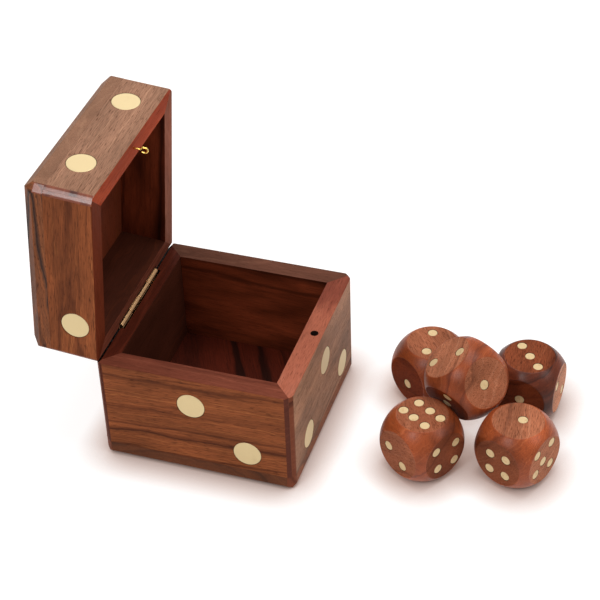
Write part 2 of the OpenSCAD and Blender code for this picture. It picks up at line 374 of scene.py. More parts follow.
# What several woods share
rim = dict(bandWidth=7.0, lightShare=0.4, streakStrength=0.3, poreStrength=0.25)
dull = dict(finish=0.6, gloss=0.03)
lining = dict(bandWidth=8.0, wander=8.0, darkShare=0.25, lightShare=0.3, streakStrength=0.4,
              poreStrength=0.25)
sanded = dict(bandWidth=7.0, lightShare=0.4, poreStrength=0.15, endDarkness=0.1, bump=0.1)
turned = dict(bandWidth=4.0, lightShare=0.4, streakStrength=0.4, poreStrength=0.4, cloudStrength=0.9,
              fibreContrast=0.2, finish=0.33, gloss=0.25, bump=0.2)

# Each wood's dark, middle and light tones as seen on screen, and how its grain differs
woods = {
    "sideFace": makeWood(
        "streakedSideWood", (84, 40, 20), (140, 76, 42), (170, 100, 56), bandWidth=4.5, wander=6.0,
        darkShare=0.3, lightShare=0.35, streakStrength=0.65, poreStrength=0.55, cloudStrength=0.4,
        fibreContrast=0.25),
    "frontFace": makeWood(
        "openPoredFrontWood", (118, 80, 58), (154, 112, 88), (164, 122, 96), pore=tone(96, 60, 44),
        bandWidth=9.0, wander=3.0, darkShare=0.08, lightShare=0.4, streakStrength=0.4,
        poreStrength=0.85, cloudStrength=0.3, fibreContrast=0.25),
    "bodyFront": makeWood(
        "darkerFrontWood", (106, 70, 48), (158, 111, 82), (168, 121, 92), pore=tone(84, 52, 38),
        bandWidth=8.0, wander=4.0, darkShare=0.12, lightShare=0.4, streakStrength=0.5,
        poreStrength=0.7, cloudStrength=0.5, fibreContrast=0.25),
    "sideRim": makeWood(
        "brownRimWood", (76, 34, 24), (116, 60, 44), (128, 70, 52), darkShare=0.15, **rim, **dull),
    # Far rim of the box, greyed as a painted sheen
    "farRim": makeWood(
        "paintedSheenRimWood", (70, 38, 28), (100, 62, 48), (112, 72, 56), darkShare=0.15, **rim, **dull),
    # Front rim of the box, made pinker as a painted sheen
    "frontRim": makeWood(
        "pinkPaintedSheenRimWood", (122, 58, 42), (166, 92, 68), (178, 104, 80), bandWidth=7.0, darkShare=0.1,
        lightShare=0.4, streakStrength=0.25, poreStrength=0.4, cloudStrength=0.15),
    # Rim of the box's back board, darkened as painted shade from the open lid
    "backRim": makeWood(
        "paintedShadeRimWood", (46, 16, 9), (74, 28, 16), (84, 34, 20), darkShare=0.2, gloss=0.05, **rim),
    "lidNearRim": makeWood(
        "deepLidRimWood", (66, 26, 14), (102, 44, 25), (114, 52, 32), darkShare=0.2, **rim, **dull),
    "lidTopRim": makeWood(
        "redLidRimWood", (100, 36, 20), (162, 66, 38), (178, 80, 50), bandWidth=6.0, darkShare=0.2,
        lightShare=0.4, streakStrength=0.4, poreStrength=0.3, **dull),
    "lidFarRim": makeWood(
        "paleLidRimWood", (100, 56, 40), (142, 82, 62), (156, 94, 72), darkShare=0.15, **rim, **dull),
    "inside": makeWood("darkInsideWood", (70, 30, 17), (108, 48, 28), (136, 66, 32), **lining),
    "insideBack": makeWood("deepInsideWood", (46, 20, 13), (72, 34, 22), (92, 44, 26), **lining),
    # Inside of the far walls, made lighter as painted light falling there
    "insideFar": makeWood(
        "paintedLightInsideWood", (66, 26, 13), (124, 54, 30), (150, 70, 37), bandWidth=8.0, wander=8.0,
        darkShare=0.3, lightShare=0.25, streakStrength=0.3, poreStrength=0.3, cloudStrength=0.9),
    "plank": makeWood(
        "plankWood", (84, 50, 34), (134, 74, 44), (152, 88, 52), bandWidth=6.0, darkShare=0.3,
        lightShare=0.4, streakStrength=0.35, poreStrength=0.5, endDarkness=0.7),
    "lidPlank": makeWood(
        "streakedPlankWood", (60, 42, 36), (132, 76, 46), (150, 90, 56), bandWidth=3.0, darkShare=0.4,
        lightShare=0.4, streakStrength=0.5, poreStrength=0.6, cloudStrength=0.5, endDarkness=0.2),
    "corner": makeWood(
        "sandedCornerWood", (76, 36, 22), (122, 64, 42), (132, 72, 48), pore=tone(86, 44, 28),
        darkShare=0.1, streakStrength=0.15, cloudStrength=0.15, **sanded),
    "darkCorner": makeWood(
        "darkSandedCornerWood", (58, 26, 18), (92, 46, 33), (100, 52, 38), pore=tone(64, 32, 22),
        darkShare=0.1, streakStrength=0.15, cloudStrength=0.15, **sanded),
    "lidCorner": makeWood(
        "rubbedCornerWood", (80, 34, 20), (132, 66, 42), (150, 80, 52), pore=tone(90, 44, 28),
        darkShare=0.2, streakStrength=0.2, finish=0.4, coat=0.85, gloss=0.3, **sanded),
    # Flats of the dice: their pinker colour is partly painted sheen; some flats are made lighter as painted
    # sheen, others darker as painted shade
    "dieFlat": makeWood(
        "flatWoodWithPaintedSheen", (104, 54, 36), (160, 95, 66), (174, 110, 80), pore=tone(84, 42, 26),
        bandWidth=4.0, darkShare=0.0, lightShare=0.4, streakStrength=0.45, poreStrength=0.7,
        cloudStrength=0.5, fibreContrast=0.25, gloss=0.05, paintedShadeTone=(0.52, 0.24, 0.08, 1)),
    "dieBall": makeWood(
        "turnedBallWood", (92, 38, 20), (155, 74, 38), (173, 90, 51), pore=tone(84, 32, 16),
        darkShare=0.02, **turned),
    "darkBall": makeWood(
        "darkTurnedBallWood", (62, 28, 18), (112, 52, 32), (134, 66, 40), pore=tone(60, 26, 16),
        darkShare=0.05, **turned),
    "floor": makeWood(
        "redFloorWood", (40, 15, 9), (80, 28, 16), (98, 36, 20), bandWidth=3.5, darkShare=0.35,
        lightShare=0.35, streakStrength=0.3, poreStrength=0.25),
}

brasses = {
    "disc": makeBrass("discBrass", 0.42, (228, 204, 154), (220, 194, 146), bump=0.1, metal=0.5,
                      share=0.2, patch=8.0),
    "pip": makeBrass("pipBrass", 0.5, (226, 196, 146), (208, 172, 120), bump=0.05, metal=0.2, patch=2.0),
    "hinge": makeBrass("hingeBrass", 0.26, (244, 194, 142), (214, 158, 104), share=0.15, patch=5.0),
    # The pin is darkened as painted shade in the joints between the knuckles
    "pin": makeBrass("darkPinPaintedShade", 0.5, (90, 62, 36), (60, 40, 24), wearRough=0.15),
    "wire": makeBrass("wireBrass", 0.2, (246, 206, 110), (190, 140, 60), wearRough=0.15, bump=0.1,
                      patch=0.8),
}
glue = makeGlueAndShade("darkGlueLine", (46, 24, 14), 0.7)
# Near-black painted shade for the insides of holes, the hinge's groove and its slots
shadow = makeGlueAndShade("paintedShadeInHoles", (24, 12, 8), 0.8)
print("materials made")

# Mesh helpers


def pieceName(node, ending):
    words = node.split("_")
    return words[0] + "".join(word.capitalize() for word in words[1:]) + ending


def applyModifiers(piece):
    ready = piece.evaluated_get(bpy.context.evaluated_depsgraph_get())
    mesh = bpy.data.meshes.new_from_object(ready)
    piece.modifiers.clear()
    piece.data = mesh


def edgesOf(corners):
    # In the order of the corners, so that each run builds the same mesh
    return list(dict.fromkeys(edge for corner in corners for edge in corner.link_edges))


def cornersOf(edges):
    return list(dict.fromkeys(corner for edge in edges for corner in edge.verts))


def lastLoop(made):
    # The far edges of what an extrusion made
    parts = set(made)
    return [part for part in made if isinstance(part, bmesh.types.BMEdge)
            and all(corner in parts for corner in part.verts)]


def facesAmong(made):
    return [part for part in made if isinstance(part, bmesh.types.BMFace)]


def bevelEdges(shape, edges, width, segments):
    return bmesh.ops.bevel(
        shape, geom=edges, affect="EDGES", offset=width * mm, segments=segments, profile=0.5, material=-1
    )["faces"]


def newPiece(name, shape, materials):
    mesh = bpy.data.meshes.new(name)
    shape.to_mesh(mesh)
    shape.free()
    piece = bpy.data.objects.new(name, mesh)
    for material in materials:
        mesh.materials.append(material)
    bpy.context.scene.collection.objects.link(piece)
    return piece


def shadeSmooth(piece):
    # Smooth shading that keeps large flats flat
    for face in piece.data.polygons:
        face.use_smooth = True
    weighted = piece.modifiers.new("flatFaces", "WEIGHTED_NORMAL")
    weighted.weight = 100
    weighted.keep_sharp = True


def slotOf(node):
    rows = frame["record"]["subparts"]
    return next(row["material_slot"] for row in rows if row["node"] == node)


def dress(piece, body, slot, *nodes):
    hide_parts(*nodes)
    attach(piece, body)


def lidMatrix():
    hinge = Vector((0, box["axisY"], box["bodyHeight"])) * mm
    turn = Matrix.Rotation(math.radians(-box["openAngle"]), 4, "X")
    return Matrix.Translation(hinge) @ turn @ Matrix.Translation(-hinge)


def writeGrain(piece, toGrain, shift):
    # Every point's place in the timber that it was cut from, and how square each face is to the fibres
    mesh = piece.data
    grain = mesh.attributes.new("grain", "FLOAT_VECTOR", "POINT")
    values = []
    for vertex in mesh.vertices:
        values.extend(toGrain @ vertex.co + shift)
    grain.data.foreach_set("vector", values)
    ends = mesh.attributes.new("endGrain", "FLOAT", "FACE")
    fibres = toGrain.to_3x3().row[0].normalized()
    square = [abs(face.normal.dot(fibres)) for face in mesh.polygons]
    ends.data.foreach_set("value", [max(0, share * 1.6 - 0.6) for share in square])


def grainFrame(fibres, faceNormal):
    # Rows: along the fibres, across the face, into the board
    along = Vector(fibres).normalized()
    deep = (Vector(faceNormal) - along * along.dot(Vector(faceNormal))).normalized()
    return Matrix((along, deep.cross(along), deep))


# Boards: the solid model's own shapes, with their arrises eased

easing = {
    "corner": 0.8,       # edges of the sanded corner flats
    "arris": 0.4,        # other outside edges
    "inside": 0.25,      # inside edge of the rims
    "joint": 0.05,       # along glue lines
    "shortest": 1.6,     # a shorter edge stays sharp
    "flattest": 20,      # so does a gentler bend, in degrees
    "near": 0.02,        # an edge this close to a joint lies on it
    "cornerFrom": 30,    # upright edges beyond this both ways are a corner flat's
    "upright": 3,        # how much such an edge rises at least
    "backFrom": 34.5,    # the hinge's side of the rims starts here
    "hingeHalf": 26,     # the hinge's cuts there stay sharp this far to either side
    "hingeDeep": 12,     # and this far up and down from the rims
    "rimDeep": 5,        # the rims' chamfers there are eased as joints are
}

# Where the faces of the corner flats, holes and cuts lie
cuts = {
    "cornerFrom": 32,
    "hingeHalf": 24,
    "grooveRadius": 2.1,
    "slotHalf": 0.5,
    "catchRadius": 1.6,
    "rimDeep": 0.3,
    "bareRim": 0.2,
    "glueFrom": 37.5,
}

# Where the fibres run, which way the board faces, its woods and its place in the tree
boards = {
    "box_left_board": dict(fibres=(0, 1, -0.05), out=(-1, 0, 0), face="sideFace", rim="sideRim",
                           corner="darkCorner", seed=1),
    "box_right_board": dict(fibres=(0, 1, 0.03), out=(1, 0, 0), face="sideFace", rim="farRim",
                            inner="insideFar", seed=2),
    "box_front_board": dict(fibres=(1, 0, 0.05), out=(0, -1, 0), face="bodyFront", rim="frontRim", seed=3),
    "box_back_board": dict(fibres=(1, 0, -0.02), out=(0, 1, 0), face="sideFace", rim="backRim",
                           inner="insideBack", seed=4),
    "base_board": dict(fibres=(1, 0.5, 0), out=(0, 0, -1), face="plank", rim="plank", inner="floor",
                       seed=5),
    "lid_left_board": dict(fibres=(0, 1, 0.03), out=(-1, 0, 0), face="sideFace", rim="lidNearRim", seed=6),
    "lid_right_board": dict(fibres=(0, 1, 0), out=(1, 0, 0), face="sideFace", rim="lidFarRim",
                            inner="insideFar", seed=7),
    "lid_front_board": dict(fibres=(1, 0, 0.02), out=(0, -1, 0), face="frontFace", rim="lidTopRim", seed=8),
    "lid_back_board": dict(fibres=(1, 0, 0), out=(0, 1, 0), face="sideFace", rim="sideRim",
                           inner="insideBack", seed=9),
    "lid_top_board": dict(fibres=(0.1, 1, 0), out=(0, 0, 1), face="lidPlank", rim="frontFace", seed=10),
}


def edgeEasing(edge):
    # How far an edge is rounded, from where it lies on the closed box
    first, second = (corner.co / mm for corner in edge.verts)
    if len(edge.link_faces) != 2 or (first - second).length < easing["shortest"]:
        return 0
    if edge.calc_face_angle_signed(0) < math.radians(easing["flattest"]):
        return 0

    def both(test):
        return test(first) and test(second)

    def atHinge(p):
        above = abs(p.z - box["bodyHeight"])
        return p.y > easing["backFrom"] and above < easing["hingeDeep"] and abs(p.x) < easing["hingeHalf"]

    if both(atHinge):
        return 0
    if both(lambda p: p.y > easing["backFrom"] and abs(p.z - box["bodyHeight"]) < easing["rimDeep"]):
        return easing["joint"]
    if both(lambda p: abs(abs(p.x) - abs(p.y)) < easing["near"]):
        return easing["joint"]
    for level in (box["bottomBoard"], box["fullHeight"] - box["topBoard"]):
        if both(lambda p: abs(p.z - level) < easing["near"]):
            return easing["joint"]
    if both(lambda p: max(abs(p.x), abs(p.y)) < box["inner"] + easing["near"]):
        return easing["inside"]
    if abs(first.z - second.z) > easing["upright"]:
        if both(lambda p: min(abs(p.x), abs(p.y)) > easing["cornerFrom"]):
            return easing["corner"]
    return easing["arris"]


def boardMaterial(node, board, face):
    # 0 outside, 1 rim or plank edge, 2 inside, 3 glued joint, 4 corner flat, 5 inside of a hole, the
    # hinge's groove and slots, in painted shade
    x, y, z = face.center / mm
    toward = face.normal.dot(Vector(board["out"]))
    fromRim = abs(z - box["bodyHeight"])
    upright = abs(face.normal.z) < 0.5 and abs(abs(face.normal.x) - abs(face.normal.y)) < 0.6
    if upright and min(abs(x), abs(y)) > cuts["cornerFrom"]:
        return 4
    if node == "lid_top_board":
        return 2 if toward < -0.9 else 1 if face.normal.y < -0.6 else 0
    if node == "base_board":
        return 2 if toward < -0.9 else 0
    inGroove = math.hypot(y - box["axisY"], fromRim) < cuts["grooveRadius"]
    inSlot = abs(y - box["slotY"]) < cuts["slotHalf"]
    # The hinge's groove and slots and the catch's hole take the painted shade
    if abs(x) < cuts["hingeHalf"] and (inGroove or inSlot):
        return 5
    if math.hypot(x, y - box["catchY"]) < cuts["catchRadius"] and fromRim > cuts["bareRim"]:
        return 5
    if fromRim < cuts["rimDeep"] and abs(face.normal.z) > 0.7:
        return 1
    if toward < -0.7:
        return 2
    return 3 if toward > 0.9 and max(abs(x), abs(y)) < cuts["glueFrom"] else 0


def makeBoard(node, board):
    inLid = node.startswith("lid")
    shape = bmesh.new()
    shape.from_mesh(frame["nodes"][node].data)
    bmesh.ops.remove_doubles(shape, verts=shape.verts, dist=0.002 * mm)
    if inLid:
        bmesh.ops.transform(shape, matrix=lidMatrix().inverted(), verts=shape.verts)
    bmesh.ops.dissolve_limit(
        shape, angle_limit=math.radians(0.6), verts=shape.verts, edges=shape.edges
    )
    weight = shape.edges.layers.float.new("bevel_weight_edge")
    for edge in shape.edges:
        edge[weight] = edgeEasing(edge)
    inside = woods[board.get("inner", "inside")]
    corner = woods[board.get("corner", "lidCorner" if inLid else "corner")]
    materials = [woods[board["face"]], woods[board["rim"]], inside, glue, corner, shadow]
    piece = newPiece(pieceName(node, "Eased"), shape, materials)
    ease = piece.modifiers.new("eased", "BEVEL")
    ease.width = 1 * mm
    ease.limit_method = "WEIGHT"
    ease.segments = 3
    applyModifiers(piece)
    for face in piece.data.polygons:
        face.material_index = boardMaterial(node, board, face)
    seed = board["seed"]
    shift = Vector((0.37 * seed, 0.023 * math.sin(seed * 2.4), 0.017 * seed % 0.03))
    writeGrain(piece, grainFrame(board["fibres"], board["out"]), shift)
    if inLid:
        piece.data.transform(lidMatrix())
    shadeSmooth(piece)
    dress(piece, "lid" if inLid else "box", slotOf(node), node)


for node, board in boards.items():
    makeBoard(node, board)
print("boards eased")

# Brass discs let into the faces of the box

discs = {
    "radius": 5.48,
    "depth": 2.0,
    "rim": 0.25,       # width of the rounded rim
    "sink": 0.02,      # how far the disc lies below the wood
    "sides": 72,
    "glueInner": 5.38,
    "glueOuter": 5.6,
    "glueSink": 0.12,
}


def faceMatrix(side):
    # Carries across, up and out of a face of the closed box to its place
    turn = Matrix.Rotation(math.radians(90 * side), 4, "Z")
    return turn @ Matrix.Translation((0, -box["half"] * mm, 0)) @ Matrix.Rotation(math.radians(90), 4, "X")


def addDisc(shape, matrix, look):
    # Solid disc with a rounded rim, its top facing out of the face
    radius, depth = look["radius"] * mm, look["depth"] * mm
    made = bmesh.ops.create_cone(
        shape, cap_ends=True, cap_tris=False, segments=look["sides"], radius1=radius, radius2=radius,
        depth=depth, matrix=Matrix.Translation((0, 0, -depth / 2 - look["sink"] * mm)),
    )["verts"]
    upper = [edge for edge in edgesOf(made) if all(corner.co.z > -depth / 2 for corner in edge.verts)]
    faces = list(dict.fromkeys(face for corner in made for face in corner.link_faces))
    eased = bevelEdges(shape, upper, look["rim"], 4)
    faces = [face for face in faces if face.is_valid] + list(eased)
    whole = list(dict.fromkeys(corner for face in faces for corner in face.verts))
    bmesh.ops.transform(shape, matrix=matrix, verts=whole)


def addGlueRing(shape, matrix):
    # Dark line of glue round a disc, just below the wood
    radius = discs["glueInner"]
    inner = bmesh.ops.create_circle(shape, segments=discs["sides"], radius=radius * mm)["verts"]
    ring = bmesh.ops.extrude_edge_only(shape, edges=edgesOf(inner))["geom"]
    outer = [part for part in ring if isinstance(part, bmesh.types.BMVert)]
    grow = discs["glueOuter"] / radius
    bmesh.ops.scale(shape, verts=outer, vec=(grow, grow, 1))
    for face in facesAmong(ring):
        face.material_index = 1
        face.normal_update()
        if face.normal.z < 0:
            face.normal_flip()
    bmesh.ops.translate(shape, verts=inner + outer, vec=(0, 0, -discs["glueSink"] * mm))
    bmesh.ops.transform(shape, matrix=matrix, verts=inner + outer)


def makeDiscs(node, places, inLid):
    shape = bmesh.new()
    for place in places:
        addDisc(shape, place, discs)
        addGlueRing(shape, place)
    if inLid:
        bmesh.ops.transform(shape, matrix=lidMatrix(), verts=shape.verts)
    piece = newPiece(pieceName(node, "Inlaid"), shape, [brasses["disc"], glue])
    shadeSmooth(piece)
    dress(piece, "lid" if inLid else "box", slotOf(node), node)


def onFace(side, *spots):
    return [faceMatrix(side) @ Matrix.Translation((across * mm, up * mm, 0)) for across, up in spots]


makeDiscs("box_front_discs", onFace(0, (2.2, 31.5), (23.2, 13), (-19.6, 13)), False)
makeDiscs("box_right_discs", onFace(1, (20.5, 13), (-20.5, 13)), False)
makeDiscs("box_back_disc", onFace(2, (-20.5, 13)), False)
makeDiscs("box_left_discs", onFace(3, (-1, 33.4), (20.3, 14.9)), False)
makeDiscs("lid_front_discs", onFace(0, (22, 58), (-19.5, 58)), True)
makeDiscs("lid_right_discs", onFace(1, (20.5, 58), (-20.5, 58)), True)
makeDiscs("lid_back_disc", onFace(2, (20.5, 58)), True)
makeDiscs("lid_left_disc", onFace(3, (-21.1, 54.4)), True)
makeDiscs("lid_top_disc", [Matrix.Translation((0, 0, box["fullHeight"] * mm))], True)
print("discs let in")

# Dice: a ball cut flat on six sides, with the cut's edge eased and a pocket for each pip

die = {
    "half": 12.5,        # half the width across the flats
    "ball": 16.0,        # radius of the ball
    "edge": 0.6,         # radius of the eased edge round each flat
    "edgeSteps": 5,
    "pocket": 2.0,       # radius of a pip's pocket
    "pocketDeep": 0.5,
}
pips = {"radius": 1.86, "depth": 1.8, "rim": 0.15, "sink": 0.03, "sides": 40}

# For each flat, +X, -X, +Y, -Y, +Z and -Z: its axis and side, and the turn that lays up out of the die
flats = [
    (0, 1, 90, "Y"), (0, -1, -90, "Y"),
    (1, 1, -90, "X"), (1, -1, 90, "X"),
    (2, 1, 0, "X"), (2, -1, 180, "X"),
]


def pair(a, b):
    return [(a, b), (-a, -b)]


def one(a=0, b=0):
    return [(a, b)]


def two():
    return pair(4.3, 4.3)


def three(a=4.6, b=4.6):
    return pair(a, b) + one()


def four(a=4.4, b=4.4):
    return pair(a, b) + pair(a, -b)


def five(a=4.7, b=4.7):
    return four(a, b) + one()


def six(a=3.7, b=6):
    return four(a, b) + pair(a, 0)


# Middle on the floor, turns, the painted light of each flat (painted shade below one, painted sheen above)
# and where its pips lie, in the order of the flats
dice = {
    "die_back_left": dict(
        at=(31, -73, 0), turns=(0, 0, 145), fibres=(0.3, 1, 0.1), seed=11,
        paintedLight=[0.0, 0.6, 0.5, 0.6, 0.95, 0.6],
        faces=[one(0, -2), six(), four(), three(), [(-4, -4.5), (5, 2.5)], five()],
    ),
    "die_back_right": dict(
        at=(33.6, -111.2, 0), turns=(0, 0, 176), fibres=(1, 0.2, 0.1), seed=12, ball="darkBall",
        paintedLight=[0.2, 0.6, 2.1, 0.6, 0.35, 0.6],
        faces=[one(0, 0.5), six(), two(), five(), three(4.9, 4.6), four()],
    ),
    "die_front_left": dict(
        at=(-10, -80, 0), turns=(0, 0, 148.5), fibres=(0.4, 1, 0.2), seed=13,
        paintedLight=[0.8, 0.6, 0.5, 0.6, 0.75, 0.6],
        faces=[
            [(-5, 1), (2.5, -4.5)], five(), [(4.5, 4.5), (-5.5, 3.5), (3.5, -4.5), (-5, -5)], three(),
            [(3.5, -6.5), (3.5, -1), (3.5, 5), (-3.5, -5.5), (-3.5, 0.5), (-3.5, 6)], one(),
        ],
    ),
    "die_front_right": dict(
        at=(-3.5, -115, 0), turns=(0, 0, 157.5), fibres=(1, 0.6, 0.1), seed=14,
        paintedLight=[0.6, 0.6, 1.35, 0.6, 1.1, 0.6],
        faces=[
            [(-3.5, 3), (3.5, 3.5), (-3.5, -4.5), (3.5, -4.5)], three(),
            [(5, 5.5), (-4, 6), (1, 0), (5.5, -3.5), (-4, -4.5)], two(), one(-1.5, 1), six(),
        ],
    ),
    "die_top": dict(
        at=(12.2, -91.2, 14.4), turns=(28.5, 23.5, 156), fibres=(1, 0.5, 0.3), seed=15,
        paintedLight=[0.0, 0.6, 1.1, 0.6, 1.3, 0.6],
        faces=[three(), four(), one(1, 0), six(), [(3.5, -5.5), (-3.5, 4.5)], five()],
    ),
}


def frameAt(flat, a=0, b=0):
    # Place and turn of a flat, or of a pip on it, whose two numbers lie along the die's other two axes
    axis, side, degrees, about = flat
    place = [a, b]
    place.insert(axis, side * die["half"])
    return Matrix.Translation(Vector(place) * mm) @ Matrix.Rotation(math.radians(degrees), 4, about)


def cutFlat(shape, flat, spots):
    # Works with the flat's own frame laid level, so that up is out of the die
    bmesh.ops.transform(shape, matrix=flat.inverted(), verts=shape.verts)
    bend = math.acos(die["half"] / die["ball"])
    back = die["edge"] * math.tan(bend / 2)
    rimRadius = math.sqrt(die["ball"] ** 2 - die["half"] ** 2) - back
    angles = [bend * (1 - step / die["edgeSteps"]) for step in range(die["edgeSteps"] + 1)]
    arc = [(rimRadius + die["edge"] * math.sin(a), die["edge"] * (math.cos(a) - 1)) for a in angles]
    radius, height = arc[0]
    cut = bmesh.ops.bisect_plane(
        shape, geom=shape.verts[:] + shape.edges[:] + shape.faces[:], plane_co=(0, 0, height * mm),
        plane_no=(0, 0, 1), clear_outer=True,
    )["geom_cut"]
    loop = [part for part in cut if isinstance(part, bmesh.types.BMEdge)]
    for nextRadius, nextHeight in arc[1:]:
        loop = lastLoop(bmesh.ops.extrude_edge_only(shape, edges=loop)["geom"])
        corners = cornersOf(loop)
        bmesh.ops.scale(shape, verts=corners, vec=(nextRadius / radius, nextRadius / radius, 1))
        bmesh.ops.translate(shape, verts=corners, vec=(0, 0, (nextHeight - height) * mm))
        radius, height = nextRadius, nextHeight
    rings = []
    for spot in spots:
        rings.append(edgesOf(bmesh.ops.create_circle(
            shape, segments=pips["sides"], radius=die["pocket"] * mm, matrix=flat.inverted() @ spot
        )["verts"]))
    filled = bmesh.ops.triangle_fill(
        shape, use_beauty=True, use_dissolve=True, edges=loop + sum(rings, []), normal=(0, 0, 1)
    )["geom"]
    for face in facesAmong(filled):
        face.material_index = 2
    for ring in rings:
        made = bmesh.ops.extrude_edge_only(shape, edges=ring)["geom"]
        bottom = lastLoop(made)
        bmesh.ops.translate(shape, verts=cornersOf(bottom), vec=(0, 0, -die["pocketDeep"] * mm))
        floor = bmesh.ops.edgeloop_fill(shape, edges=bottom)["faces"]
        for face in facesAmong(made) + list(floor):
            face.material_index = 1
    bmesh.ops.transform(shape, matrix=flat, verts=shape.verts)


def writePaintedLight(piece, paintedLight):
    # Each face takes the painted light of the flat that it faces most
    outward = [frameAt(flat).to_3x3() @ Vector((0, 0, 1)) for flat in flats]
    values = []
    for face in piece.data.polygons:
        facing = [face.normal.dot(out) for out in outward]
        values.append(paintedLight[facing.index(max(facing))])
    attribute = piece.data.attributes.new("paintedLight", "FLOAT", "FACE")
    attribute.data.foreach_set("value", values)


def makeDie(node, look):
    layouts = [(flat, [frameAt(flat, a, b) for a, b in spots]) for flat, spots in zip(flats, look["faces"])]
    placed = Matrix.Translation(Vector(look["at"]) * mm + Vector((0, 0, die["half"] * mm)))
    placed = placed @ Euler([math.radians(turn) for turn in look["turns"]], "XYZ").to_matrix().to_4x4()
    shape = bmesh.new()
    bmesh.ops.create_icosphere(shape, subdivisions=6, radius=die["ball"] * mm)
    for flat, spots in layouts:
        cutFlat(shape, frameAt(flat), spots)
    bmesh.ops.recalc_face_normals(shape, faces=shape.faces)
    ball = woods[look.get("ball", "dieBall")]
    piece = newPiece(pieceName(node, "Turned"), shape, [ball, glue, woods["dieFlat"]])
    seed = look["seed"]
    shift = Vector((0.4 * seed, 0.02 * math.sin(seed), 0.03 * math.cos(seed * 1.7)))
    writeGrain(piece, grainFrame(look["fibres"], (0.3, 0.2, 1)), shift)
    writePaintedLight(piece, look["paintedLight"])
    piece.data.transform(placed)
    shadeSmooth(piece)
    dress(piece, node, slotOf(node), node)
    shape = bmesh.new()
    for flat, spots in layouts:
        for spot in spots:
            addDisc(shape, spot, pips)
    bmesh.ops.transform(shape, matrix=placed, verts=shape.verts)
    piece = newPiece(pieceName(node, "Pips"), shape, [brasses["pip"]])
    shadeSmooth(piece)
    dress(piece, node, slotOf(node + "_pips"), node + "_pips")


for node, look in dice.items():
    makeDie(node, look)
print("dice turned and inlaid")

# Hinge: two leaves of sheet brass, each curled into every second knuckle round a pin

hinge = {
    "start": -16.5,     # left end of the barrel
    "pitch": 9.0,
    "knuckles": 4,
    "gap": 0.25,
    "radius": 1.3,
    "bore": 0.95,
    "curl": 318,        # degrees that a knuckle goes round the pin
    "leaf": 0.6,        # thickness of the flat leaf
    "leafFrom": 1.6,    # the leaf lies from here
    "leafTo": 7.0,      # to here, up or down from the axis
    "tab": 2.0,         # reach of the tab that joins a knuckle to the leaf
    "ease": 0.15,
    "pin": 0.9,
    "pinEase": 0.15,
}
hinge["length"] = hinge["knuckles"] * hinge["pitch"] - hinge["gap"]
hinge["middle"] = hinge["start"] + hinge["gap"] / 2 + hinge["length"] / 2


def addBlock(shape, size, middle):
    corners = bmesh.ops.create_cube(shape, size=1)["verts"]
    bmesh.ops.scale(shape, verts=corners, vec=Vector(size) * mm)
    bmesh.ops.translate(shape, verts=corners, vec=Vector(middle) * mm)


def makeLeaf(name, node, knuckles, mirrored, body):
    shape = bmesh.new()
    outer, inner = -hinge["radius"], -hinge["bore"]
    for index in knuckles:
        left = hinge["start"] + index * hinge["pitch"] + hinge["gap"] / 2
        right = left + hinge["pitch"] - hinge["gap"]
        corners = ((left, outer), (right, outer), (right, inner), (left, inner))
        sheetEnd = shape.faces.new([shape.verts.new((x * mm, y * mm, 0)) for x, y in corners])
        bmesh.ops.spin(
            shape, geom=[sheetEnd], cent=(0, 0, 0), axis=(1, 0, 0), dvec=(0, 0, 0),
            angle=math.radians(-hinge["curl"]), steps=44, use_merge=False, use_duplicate=False,
        )
        size = (right - left, inner - outer, hinge["tab"])
        addBlock(shape, size, ((left + right) / 2, (outer + inner) / 2, -hinge["tab"] / 2))
    size = (hinge["length"], hinge["leaf"], hinge["leafTo"] - hinge["leafFrom"])
    deep = (hinge["leafTo"] + hinge["leafFrom"]) / 2
    addBlock(shape, size, (hinge["middle"], box["slotY"] - box["axisY"], -deep))
    if mirrored:
        bmesh.ops.scale(shape, verts=shape.verts, vec=(1, 1, -1))
    bmesh.ops.recalc_face_normals(shape, faces=shape.faces)
    sharp = [edge for edge in shape.edges if len(edge.link_faces) == 2
             and edge.calc_face_angle() > math.radians(40)]
    bevelEdges(shape, sharp, hinge["ease"], 2)
    bmesh.ops.translate(shape, verts=shape.verts, vec=(0, box["axisY"] * mm, box["bodyHeight"] * mm))
    if mirrored:
        bmesh.ops.transform(shape, matrix=lidMatrix(), verts=shape.verts)
    piece = newPiece(name, shape, [brasses["hinge"]])
    shadeSmooth(piece)
    dress(piece, body, "brass_hinge", node)


def makePin():
    shape = bmesh.new()
    bmesh.ops.create_cone(
        shape, cap_ends=True, cap_tris=False, segments=32, radius1=hinge["pin"] * mm,
        radius2=hinge["pin"] * mm, depth=hinge["length"] * mm,
        matrix=Matrix.Rotation(math.radians(90), 4, "Y"),
    )
    ends = [edge for edge in shape.edges if abs(edge.verts[0].co.x - edge.verts[1].co.x) < 0.1 * mm]
    bevelEdges(shape, ends, hinge["pinEase"], 3)
    middle = Vector((hinge["middle"], box["axisY"], box["bodyHeight"])) * mm
    bmesh.ops.translate(shape, verts=shape.verts, vec=middle)
    piece = newPiece("hingePinRounded", shape, [brasses["pin"]])
    shadeSmooth(piece)
    dress(piece, "box", "brass_hinge", "hinge_pin")


makeLeaf("hingeLowerLeafCurled", "hinge_lower_leaf", (0, 2), False, "box")
makeLeaf("hingeUpperLeafCurled", "hinge_upper_leaf", (1, 3), True, "lid")
makePin()
print("hinge made")

# Catch: a wire eye in the lid's rim that springs into the hole in the box's rim

catch = {
    "wire": 0.4,          # radius of the wire
    "loop": 0.9,          # radius of the loop's middle line
    "straight": 0.9,
    "shankOut": 2.7,
    "shankIn": 8.0,
    "turn": 20,
    "lastBend": 28,       # degrees by which the loop's end curls back to the shank
    "endEase": 0.18,
    "sides": 24,
}


